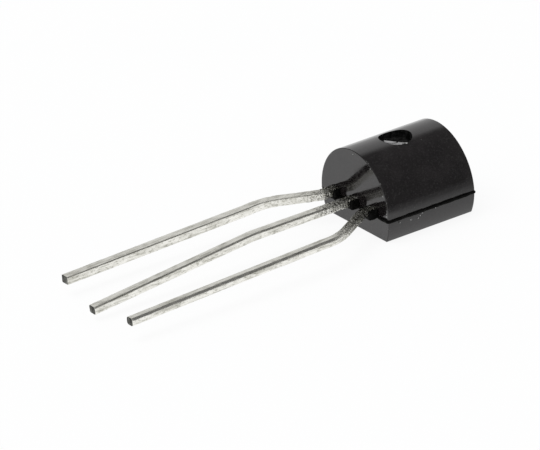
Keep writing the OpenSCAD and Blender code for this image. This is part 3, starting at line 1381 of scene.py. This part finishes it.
class RouteWalker:
    """Walks a lead's centre line, step by step, from its root to its tip."""

    def __init__(self, start: Sequence[float], turn_radius: float, eased_radius: float,
                 dip_radius: float, stride: float) -> None:
        """Stands at the root and faces away from the case.

        Args:
            start: Where the route starts.
            turn_radius: Bend radius in the plane of the row.
            eased_radius: Radius of a gentler bend in that plane.
            dip_radius: Bend radius out of that plane.
            stride: Longest distance between two points.
        """
        self.place = np.array(start, float)
        self.facing = np.eye(3)
        self.turn_radius, self.eased_radius, self.dip_radius = turn_radius, eased_radius, dip_radius
        self.stride = stride
        self.points: List[np.ndarray] = [self.place.copy()]
        self.faces: List[np.ndarray] = [self.facing.copy()]

    def note(self) -> None:
        """Keeps the present place and direction."""
        self.points.append(self.place.copy())
        self.faces.append(self.facing.copy())

    def run(self, length: float) -> None:
        """Goes straight on.

        Args:
            length: How far.
        """
        parts = max(1, math.ceil(length / self.stride))
        for _ in range(parts):
            self.place = self.place + self.facing @ np.array([0.0, -length / parts, 0.0])
            self.note()

    def bend(self, angle: float, radius: float, arm: np.ndarray, axis: str) -> None:
        """Goes round a bend.

        Args:
            angle: How far it turns, in degrees.
            radius: Bend radius.
            arm: Direction to the bend's centre for a positive angle, in the walker's own axes.
            axis: The walker's own axis that it turns about, X or Z.
        """
        whole = math.radians(angle)
        parts = max(2, math.ceil(abs(whole) * radius / self.stride))
        reach = np.array(arm) * (1 if angle >= 0 else -1) * radius
        centre = self.place + self.facing @ reach
        first = self.facing.copy()
        for k in range(1, parts + 1):
            spin = np.array(Matrix.Rotation(whole * k / parts, 3, axis))
            self.place = centre + first @ spin @ -reach
            self.facing = first @ spin
            self.note()

    def walk(self, route: Sequence[Tuple[Move, float]]) -> None:
        """Follows a whole route.

        Args:
            route: Its steps, with lengths in metres and angles in degrees.
        """
        for move, amount in route:
            if move is Move.RUN:
                self.run(amount)
            elif move is Move.TURN:
                self.bend(amount, self.turn_radius, np.array([1.0, 0.0, 0.0]), "Z")
            elif move is Move.EASE:
                self.bend(amount, self.eased_radius, np.array([1.0, 0.0, 0.0]), "Z")
            else:
                self.bend(amount, self.dip_radius, np.array([0.0, 0.0, -1.0]), "X")

    def tilts(self) -> List[float]:
        """Turn of the section at each point, against a section that stays level.

        Returns:
            The angles, in radians.
        """
        found = []
        for facing in self.faces:
            ahead, side = -facing[:, 1], -facing[:, 0]
            level = np.array([ahead[1], -ahead[0], 0.0])
            level /= np.linalg.norm(level)
            found.append(math.atan2(float(np.cross(level, side) @ ahead), float(level @ side)))
        return found


@dataclass
class LeadRow:
    """The three formed leads, each one strip from its tip to its pad or post inside the case."""

    width: float = 0.42 * MM
    thickness: float = 0.35 * MM
    root_pitch: float = 1.27 * MM
    formed_pitch: float = 2.54 * MM
    reach: float = 12.85 * MM
    emitter_trim: float = 0.45 * MM
    points_round: int = 56
    crinkle_scale: float = 3600.0
    flank_gain: float = 1.3
    seeds: Span = (3.0, 2.5)
    base_trim: float = 0.1 * MM
    middle_bend_at: float = 5.0 * MM
    stub: float = 0.38 * MM
    splay: float = 32.0
    bend_radius: float = 0.6 * MM
    dip_radius: float = 2.0 * MM
    emitter_root_dip: float = 4.4
    emitter_tip_dip: float = 1.5
    middle_dip: float = 5.4
    base_dip: float = 2.0
    root_join: float = 0.3 * MM
    settle: float = 0.15 * MM
    case_end: float = -2.15 * MM
    axis_height: float = 1.195 * MM
    crinkle: float = 0.018 * MM
    eased_radius: float = 2.2 * MM
    corners: Point = (0.08 * MM, 0.12 * MM, 0.045 * MM)
    crushed: Dict[LeadRole, Span] = field(default_factory=lambda: {
        LeadRole.COLLECTOR: (-4.6 * MM, -3.2 * MM), LeadRole.BASE: (-4.3 * MM, -3.4 * MM),
        LeadRole.EMITTER: (-6.2 * MM, -4.6 * MM)})
    finish: TinFinish = field(default_factory=TinFinish)
    cut_finish: MetalFinish = SHEARED_METAL
    stride: float = 0.035 * MM
    tip_taper: Tuple[Span, ...] = ((0.022, 0.985), (0.01, 0.95), (0.003, 0.9), (0.0, 0.82))
    sealed_overlap: float = 0.02 * MM
    cut_depth: float = 0.08 * MM

    def dipped(self, degrees: float) -> float:
        """How far a dip of some degrees takes a route onwards."""
        return self.dip_radius * math.sin(math.radians(degrees))

    def route(self, role: LeadRole) -> List[Tuple[Move, float]]:
        """Steps of one lead's centre line, from inside the case to its tip.

        Args:
            role: Which lead.

        Returns:
            The steps.
        """
        a = math.radians(self.splay)
        aside = (self.formed_pitch - self.root_pitch) - 2 * self.bend_radius * (1 - math.cos(a))
        slant = aside / math.sin(a)
        splay_run = self.stub + slant * math.cos(a) + 2 * self.bend_radius * math.sin(a)
        early = (self.eased_radius - self.bend_radius) * math.tan(a / 2)
        if role is LeadRole.COLLECTOR:
            return [
                (Move.RUN, self.root_join + self.middle_bend_at), (Move.DIP, self.middle_dip),
                (Move.RUN, self.reach - self.middle_bend_at - self.dipped(self.middle_dip)),
            ]
        if role is LeadRole.BASE:
            return [
                (Move.RUN, self.root_join + self.stub),
                (Move.TURN, self.splay), (Move.RUN, slant - early), (Move.EASE, -self.splay),
                (Move.RUN, self.settle), (Move.DIP, self.base_dip),
                (Move.RUN, self.reach - self.base_trim - splay_run - self.settle - early
                 - self.dipped(self.base_dip)),
            ]
        return [
            (Move.RUN, self.root_join + self.stub), (Move.DIP, self.emitter_root_dip),
            (Move.TURN, -self.splay), (Move.RUN, slant - early), (Move.EASE, self.splay),
            (Move.RUN, self.settle), (Move.DIP, self.emitter_tip_dip - self.emitter_root_dip),
            (Move.RUN, self.reach - self.emitter_trim - splay_run - self.settle - early
             - self.dipped(self.emitter_root_dip)
             - self.dipped(self.emitter_root_dip - self.emitter_tip_dip)),
        ]

    def outer(self, role: LeadRole, tin: Material, seed: float) -> Object:
        """The part of a lead that shows, swept along its route.

        Args:
            role: Which lead.
            tin: Its plating.
            seed: Seed of its crinkles.

        Returns:
            The object.
        """
        sides = {LeadRole.COLLECTOR: 0.0, LeadRole.BASE: self.root_pitch, LeadRole.EMITTER: -self.root_pitch}
        start = (sides[role], self.case_end + self.root_join, self.axis_height)
        walker = RouteWalker(start, self.bend_radius, self.eased_radius, self.dip_radius, self.stride)
        walker.walk(self.route(role))
        points, tilts = walker.points, walker.tilts()
        ahead = -walker.faces[-1][:, 1]
        tip = points[-1].copy()
        points, tilts = points[:-1], tilts[:-1]
        radii = [1.0] * len(points)
        for back, size in self.tip_taper:
            points.append(tip - ahead * back * MM)
            tilts.append(tilts[-1])
            radii.append(size)
        route = route_object(role.value + "_route", np.array(points), radii, tilts, False)
        grow(route, "formed_strip", write_strip, {
            "Width": self.width, "Thickness": self.thickness, "Points Round": self.points_round,
            "Corner": self.corners[list(LeadRole).index(role)],
            "Crinkle": self.crinkle, "Crinkle Scale": self.crinkle_scale,
            "Crushed From": self.crushed[role][0], "Crushed To": self.crushed[role][1],
            "Seed": seed, "Material": tin,
        })
        return frozen(route, role.value + "_outer")

    def inner(self, role: LeadRole, tin: Material) -> Object:
        """The sealed part of a lead with its pad or post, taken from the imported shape.

        Args:
            role: Which lead.
            tin: Its plating.

        Returns:
            The object.
        """
        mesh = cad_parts[role.value].data.copy()
        mesh.name = role.value + "_inner"
        work = bmesh.new()
        work.from_mesh(mesh)
        bmesh.ops.remove_doubles(work, verts=work.verts, dist=1e-8)
        plane = (0.0, self.case_end + self.root_join + self.sealed_overlap, 0.0)
        everything = [*work.verts, *work.edges, *work.faces]
        cut = bmesh.ops.bisect_plane(
            work, geom=everything, plane_co=plane, plane_no=(0.0, 1.0, 0.0), clear_inner=True)
        rim = [g for g in cut["geom_cut"] if isinstance(g, bmesh.types.BMEdge)]
        bmesh.ops.holes_fill(work, edges=rim, sides=0)
        bmesh.ops.recalc_face_normals(work, faces=work.faces)
        work.to_mesh(mesh)
        work.free()
        mesh.materials.clear()
        mesh.materials.append(tin)
        obj = linked(mesh.name, mesh)
        return obj

    def dress_cut_end(self, mesh: Mesh, cut: Material) -> None:
        """Gives the sheared end its bare metal.

        Args:
            mesh: The lead's mesh.
            cut: The bare finish.
        """
        mesh.materials.append(cut)
        slot = len(mesh.materials) - 1
        tip = min(v.co.y for v in mesh.vertices)
        for face in mesh.polygons:
            if face.normal.y < -0.6 and face.center.y < tip + self.cut_depth:
                face.material_index = slot

    def mark_flanks(self, mesh: Mesh) -> None:
        """Stores how far each point's surface turns from facing up, which its plating reads.

        Args:
            mesh: The lead's mesh.
        """
        values = [held(1.0 - self.flank_gain * max(0.0, v.normal.z)) for v in mesh.vertices]
        store(mesh, "flank", values)

    def build(self, role: LeadRole, tin: Material, cut: Material, seed: float) -> Object:
        """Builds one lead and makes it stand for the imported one.

        Args:
            role: Which lead.
            tin: Its plating.
            cut: The finish of its sheared end.
            seed: Seed of its crinkles.

        Returns:
            The finished piece.
        """
        outer, inner = self.outer(role, tin, seed), self.inner(role, tin)
        self.dress_cut_end(outer.data, cut)
        work = bmesh.new()
        work.from_mesh(outer.data)
        work.from_mesh(inner.data)
        work.to_mesh(outer.data)
        work.free()
        bpy.data.objects.remove(inner)
        outer.name = role.value.replace("_lead", "_terminal")
        outer.data.name = outer.name
        self.mark_flanks(outer.data)
        smooth_over(outer.data, 42.0)
        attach(outer, "root")
        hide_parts(role.value)
        return outer

    def build_all(self) -> List[Object]:
        """Builds the whole row.

        Returns:
            The finished pieces.
        """
        tin, cut = self.finish.material(), self.cut_finish.material()
        first, step = self.seeds
        return [self.build(role, tin, cut, first + step * k) for k, role in enumerate(LeadRole)]


# ----------------------------------------------------------------------------
# The sealed chip
# ----------------------------------------------------------------------------


@dataclass
class SealedChip:
    """The die, its attach layer and its two bond wires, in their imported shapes."""

    die_finish: MetalFinish = SILICON
    attach_finish: MetalFinish = SILVER_ADHESIVE
    wire_finish: MetalFinish = GOLD_WIRE

    def dress(self) -> List[Object]:
        """Gives each sealed part its finish.

        Returns:
            The dressed nodes.
        """
        wire = self.wire_finish.material()
        finishes = {
            "silicon_die": self.die_finish.material(),
            "die_attach": self.attach_finish.material(),
            "base_wire": wire,
            "emitter_wire": wire,
        }
        dressed = []
        for name, material in finishes.items():
            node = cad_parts[name]
            node.data.materials.clear()
            node.data.materials.append(material)
            dressed.append(node)
        return dressed


# ----------------------------------------------------------------------------
# The studio
# ----------------------------------------------------------------------------


@dataclass(frozen=True)
class FloorFinish:
    """White sweep that reads as plain white to the eye and in gloss, and still takes a soft shadow."""

    name: str = "white_sweep"
    paint: Colour = (0.95, 0.95, 0.95)
    glow: float = 1.0
    glow_share: float = 0.9

    def material(self) -> Material:
        """Builds the material.

        Returns:
            The material.
        """
        material, sheet = blank_material(self.name)
        cloud = Clouding(60.0, 2.0, 0.3, 0.7).on(sheet, sheet.put("ShaderNodeTexCoord").outputs["Object"])
        colour = sheet.blend(cloud, self.paint, tuple(c * 0.985 for c in self.paint))
        paint = sheet.out("ShaderNodeBsdfDiffuse", {"Color": colour})
        glow = sheet.out("ShaderNodeEmission", {"Strength": self.glow})
        mix = sheet.mixed(sheet.times(sheet.seen(), self.glow_share), paint, glow)
        sheet.put("ShaderNodeOutputMaterial", {"Surface": mix})
        return material


@dataclass(frozen=True)
class Cloth:
    """A dark patch of the hood, bounded by two angles in degrees.

    The lean is measured from +Y, and the turn is measured round Y from +Z towards +X.
    """

    lean: Span
    turn: Span
    soft: float
    level: float

    def within(self, value: float, span: Span) -> float:
        """How far an angle lies inside a span with soft ends, from 0 to 1.

        Args:
            value: The angle, in degrees.
            span: Where the span starts and ends.

        Returns:
            The share.
        """
        low = held((value - span[0] + self.soft) / (2 * self.soft))
        high = held((span[1] + self.soft - value) / (2 * self.soft))
        return low * low * (3 - 2 * low) * high * high * (3 - 2 * high)

    def share(self, way: Vector) -> float:
        """How dense the patch is in a direction, from 0 to 1.

        Args:
            way: The direction, as a unit vector.

        Returns:
            The density.
        """
        lean = math.degrees(math.acos(max(-1.0, min(1.0, way.y))))
        return self.within(lean, self.lean) * self.within(math.degrees(math.atan2(way.x, way.z)), self.turn)


@dataclass
class Studio:
    """Floor, dark cloth, lamp, world and camera."""

    azimuth: float = 56.001
    elevation: float = 25.238
    tilt: float = -3.543
    distance: float = 266.08 * MM
    target: Point = (0.8608 * MM, -6.8979 * MM, 1.8801 * MM)
    lens: float = 447.54
    sensor: float = 36.0
    clip: Span = (0.01, 20.0)
    floor_half: float = 1.5
    floor_finish: FloorFinish = field(default_factory=FloorFinish)
    foot_level: float = 0.15
    hood_radius: float = 0.8
    cloths: Tuple[Cloth, ...] = (
        Cloth(lean=(38.0, 80.0), turn=(-36.0, 128.0), soft=9.0, level=0.16),
        Cloth(lean=(93.0, 158.0), turn=(-105.0, -18.0), soft=5.0, level=0.0),
        Cloth(lean=(84.0, 125.0), turn=(6.0, 62.0), soft=6.0, level=0.04))
    foot: Tuple[Span, ...] = (
        (4.2 * MM, 0.0), (6.2 * MM, 0.35), (9.0 * MM, 0.7), (25.0 * MM, 0.92), (0.12, 1.0), (0.79, 1.0))
    foot_sector: Span = (92.0, 160.0)
    foot_height: float = 0.05 * MM
    foot_spokes: int = 48
    foot_fade: float = 0.12
    hood_grid: Tuple[int, int] = (144, 46)
    fill: Colour = (0.97, 0.985, 1.0)
    fill_strength: float = 0.68

    def camera(self) -> None:
        """Places the camera."""
        t = math.radians(self.tilt)
        back = direction(self.azimuth, self.elevation)
        right = Vector((0.0, 0.0, 1.0)).cross(back).normalized()
        up = back.cross(right)
        right, up = math.cos(t) * right + math.sin(t) * up, -math.sin(t) * right + math.cos(t) * up
        data = bpy.data.cameras.new("camera")
        data.lens, data.sensor_width = self.lens, self.sensor
        data.clip_start, data.clip_end = self.clip
        camera = linked("camera", data)
        pose = Matrix((right, up, back)).transposed().to_4x4()
        pose.translation = Vector(self.target) + back * self.distance
        camera.matrix_world = pose
        bpy.context.scene.camera = camera

    def floor(self) -> None:
        """Lays the floor under the case's flat."""
        h = self.floor_half
        corners = [(-h, -h, 0.0), (h, -h, 0.0), (h, h, 0.0), (-h, h, 0.0)]
        floor = mesh_object("floor", corners, [(0, 1, 2, 3)], [self.floor_finish.material()])

    def darkness(self, way: Vector) -> Span:
        """How dark the room is in a direction.

        Args:
            way: The direction, as a unit vector.

        Returns:
            The share of dark cloth, from 0 to 1, and how bright the cloth is.
        """
        shares = [cloth.share(way) for cloth in self.cloths]
        level = sum((share + CUTOFF) * cloth.level for share, cloth in zip(shares, self.cloths))
        return max(shares), level / (sum(shares) + CUTOFF * len(shares))

    def cloth(self, name: str, points: Sequence[Sequence[float]], faces: Sequence[Sequence[int]],
              shares: Sequence[float], levels: Sequence[float]) -> None:
        """Hangs dark cloth that only gloss can see.

        Args:
            name: Name of the cloth.
            points: Its vertices.
            faces: Its faces.
            shares: How dense it is at each vertex.
            levels: How bright it is at each vertex.
        """
        material, sheet = blank_material(name)
        stored = {label: sheet.put("ShaderNodeAttribute", attribute_name=label).outputs["Fac"]
                  for label in ("share", "level")}
        dark = sheet.out("ShaderNodeEmission", {"Strength": stored["level"]})
        mix = sheet.mixed(stored["share"], sheet.out("ShaderNodeBsdfTransparent"), dark)
        sheet.put("ShaderNodeOutputMaterial", {"Surface": mix})
        hung = mesh_object(name, points, faces, [material])
        for label, values in (("share", shares), ("level", levels)):
            store(hung.data, label, values)
        for ray in ("camera", "diffuse", "shadow", "transmission", "volume_scatter"):
            setattr(hung, "visible_" + ray, False)

    def hood(self) -> None:
        """Hangs the cloth overhead and behind, and lays one on the floor beside the object."""
        across, up = self.hood_grid
        points, shares, levels = [], [], []
        for j in range(up + 1):
            for k in range(across):
                way = direction(360.0 * k / across, 0.005 + 89.9 * j / up)
                points.append(tuple(way * self.hood_radius))
                share, level = self.darkness(way)
                shares.append(share)
                levels.append(level)
        faces = [face for j in range(up) for face in band(j * across, (j + 1) * across, across)]
        self.cloth("dark_hood", points, faces, shares, levels)
        points, shares = [], []
        spokes, (start, end) = self.foot_spokes, self.foot_sector
        for distance, share in self.foot:
            for k in range(spokes + 1):
                a = math.radians(start + (end - start) * k / spokes)
                points.append((distance * math.sin(a), -distance * math.cos(a), self.foot_height))
                shares.append(share * min(1.0, min(k, spokes - k) / (self.foot_fade * spokes)))
        row = spokes + 1
        faces = [face for j in range(len(self.foot) - 1)
                 for face in band(j * row, (j + 1) * row, row, closed=False)]
        self.cloth("dark_foot", points, faces, shares, [self.foot_level] * len(points))

    def lamp(self, name: str, azimuth: float, elevation: float, distance: float, size: Span,
             watts: float) -> None:
        """Hangs a soft lamp that faces the object.

        Args:
            name: Name of the lamp.
            azimuth: Its direction, in degrees from -Y towards +X.
            elevation: Its height above the horizon, in degrees.
            distance: How far it hangs.
            size: Its width and height.
            watts: Its power.
        """
        data = bpy.data.lights.new(name, "AREA")
        data.shape, data.size, data.size_y, data.energy = "RECTANGLE", size[0], size[1], watts
        lamp = linked(name, data)
        way = direction(azimuth, elevation)
        lamp.location = way * distance
        lamp.rotation_euler = way.to_track_quat("Z", "Y").to_euler()
        lamp.visible_glossy = False

    def world(self) -> None:
        """Lights the room evenly, and shows it white to the eye and in gloss."""
        world = bpy.data.worlds.new("room")
        bpy.context.scene.world = world
        world.use_nodes = True
        world.node_tree.nodes.clear()
        sheet = Sheet(world.node_tree)
        white = sheet.out("ShaderNodeBackground", {"Strength": 1.0})
        fill = sheet.out("ShaderNodeBackground", {"Color": self.fill, "Strength": self.fill_strength})
        sheet.put("ShaderNodeOutputWorld", {"Surface": sheet.mixed(sheet.seen(), fill, white)})

    def build(self) -> None:
        """Sets up the whole studio."""
        scene = bpy.context.scene
        scene.view_settings.view_transform = "Standard"
        self.camera()
        self.floor()
        self.hood()
        self.lamp("soft_key", azimuth=-20.0, elevation=66.0, distance=0.9, size=(0.6, 0.6), watts=3.2)
        self.world()


def main() -> None:
    """Builds the transistor and its studio, and reports each piece."""
    logging.basicConfig(level=logging.INFO, format="%(name)s: %(message)s")
    pieces: List[Object] = [MouldedCase().build()]
    pieces.extend(PartingFlash().build())
    pieces.append(RootCollars().build())
    pieces.extend(LeadRow().build_all())
    pieces.extend(SealedChip().dress())
    for piece in pieces:
        LOG.info("%s: %d points, %d faces", piece.name, len(piece.data.vertices), len(piece.data.polygons))
    Studio().build()


if __name__ == "__main__":
    main()
